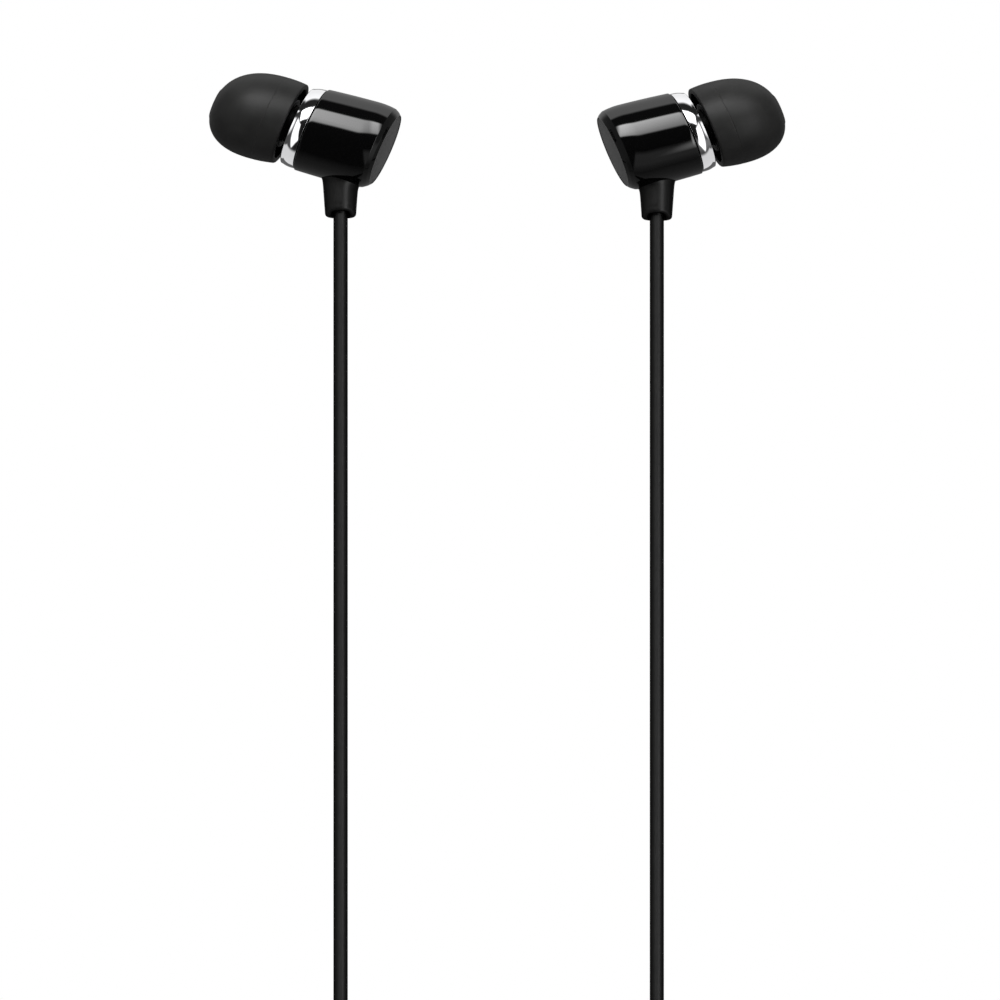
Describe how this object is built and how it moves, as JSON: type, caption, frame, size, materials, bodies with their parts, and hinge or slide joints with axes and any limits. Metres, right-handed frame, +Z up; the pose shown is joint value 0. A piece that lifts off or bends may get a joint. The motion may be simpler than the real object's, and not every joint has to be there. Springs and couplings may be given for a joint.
{
  "type": "wired earphones",
  "caption": "Wired in-ear earphones: black barrels with chrome rings and silicone tips, branch cables joined in a Y splitter, and a coiled trunk to a stereo plug.",
  "frame": {"origin": "centre of the splitter's flat underside, on the plane that the cables rest on", "axes": "+Z up along the hanging cables; +X to the right-hand earpiece in the main view; -Y is the side of the earpieces' end caps, and +Y runs from the hanging cables to the trunk coil"},
  "size_m": [0.0767, 0.1748, 0.2043],
  "materials": {
    "silicone": "matte moulded silicone",
    "gloss_black": "high-gloss black",
    "satin_cap": "satin dark grey",
    "chrome": "mirror chrome plating",
    "rubber_black": "matte black",
    "cable_jacket": "satin black jacket",
    "abs_black": "moulded black",
    "steel": "plain",
    "steel_mesh": "fine mesh",
    "magnet": "nickel-plated",
    "film": "thin polymer film",
    "copper": "enamelled copper wire",
    "board": "printed circuit board",
    "foam": "foam gasket",
    "gold": "gold-plated brass"
  },
  "bodies": {
    "trunk": {"splitter_base": "rubber_black", "splitter_lid": "rubber_black", "splitter_core": "abs_black", "cable_trunk": "cable_jacket"},
    "plug": {"plug_grip": "rubber_black", "plug_cable_end": "cable_jacket", "plug_core": "steel", "plug_sleeve": "gold", "plug_ring": "gold", "plug_tip": "gold", "plug_band_rear": "abs_black", "plug_band_front": "abs_black"},
    "tip_left": {"ear_tip_left": "silicone"},
    "earpiece_left": {"nozzle_mesh_left": "steel_mesh", "front_shell_left": "abs_black", "chrome_ring_left": "chrome", "barrel_left": "gloss_black", "end_cap_left": "satin_cap", "driver_gasket_left": "foam", "driver_grille_left": "steel", "driver_basket_left": "abs_black", "diaphragm_left": "film", "voice_coil_left": "copper", "pole_plate_left": "steel", "magnet_left": "magnet", "yoke_cup_left": "steel", "terminal_board_left": "board", "boot_left": "rubber_black", "cable_end_left": "cable_jacket", "lead_signal_left": "copper", "lead_ground_left": "copper"},
    "branch_left": {"cable_branch_left": "cable_jacket"},
    "tip_right": {"ear_tip_right": "silicone"},
    "earpiece_right": {"nozzle_mesh_right": "steel_mesh", "front_shell_right": "abs_black", "chrome_ring_right": "chrome", "barrel_right": "gloss_black", "end_cap_right": "satin_cap", "driver_gasket_right": "foam", "driver_grille_right": "steel", "driver_basket_right": "abs_black", "diaphragm_right": "film", "voice_coil_right": "copper", "pole_plate_right": "steel", "magnet_right": "magnet", "yoke_cup_right": "steel", "terminal_board_right": "board", "boot_right": "rubber_black", "cable_end_right": "cable_jacket", "lead_signal_right": "copper", "lead_ground_right": "copper"},
    "branch_right": {"cable_branch_right": "cable_jacket"}
  },
  "joints": [
    {"name": "plug_bend", "type": "hinge", "parent": "trunk", "child": "plug", "pos_m": [0, 0.07625, 0.0032], "axis": [0, 0, 1], "range_deg": [-20, 20], "stiffness_Nm_per_rad": 0.002},
    {"name": "branch_swing_left", "type": "hinge", "parent": "trunk", "child": "branch_left", "pos_m": [-0.0016, -0.0089, 0.0017], "axis": [0, 0, 1], "range_deg": [-30, 2], "stiffness_Nm_per_rad": 0.004},
    {"name": "earpiece_bend_left", "type": "hinge", "parent": "branch_left", "child": "earpiece_left", "pos_m": [-0.01792, -0.07, 0.1826], "axis": [0, 1, 0], "range_deg": [-35, 35], "stiffness_Nm_per_rad": 0.02},
    {"name": "tip_pull_left", "type": "slide", "parent": "earpiece_left", "child": "tip_left", "axis": [-0.9403, 0.074, 0.3322], "range_m": [0, 0.009]},
    {"name": "branch_swing_right", "type": "hinge", "parent": "trunk", "child": "branch_right", "pos_m": [0.0016, -0.0089, 0.0017], "axis": [0, 0, 1], "range_deg": [-2, 30], "stiffness_Nm_per_rad": 0.004},
    {"name": "earpiece_bend_right", "type": "hinge", "parent": "branch_right", "child": "earpiece_right", "pos_m": [0.01792, -0.07, 0.1826], "axis": [0, 1, 0], "range_deg": [-35, 35], "stiffness_Nm_per_rad": 0.02},
    {"name": "tip_pull_right", "type": "slide", "parent": "earpiece_right", "child": "tip_right", "axis": [0.9403, 0.074, 0.3322], "range_m": [0, 0.009]}
  ]
}
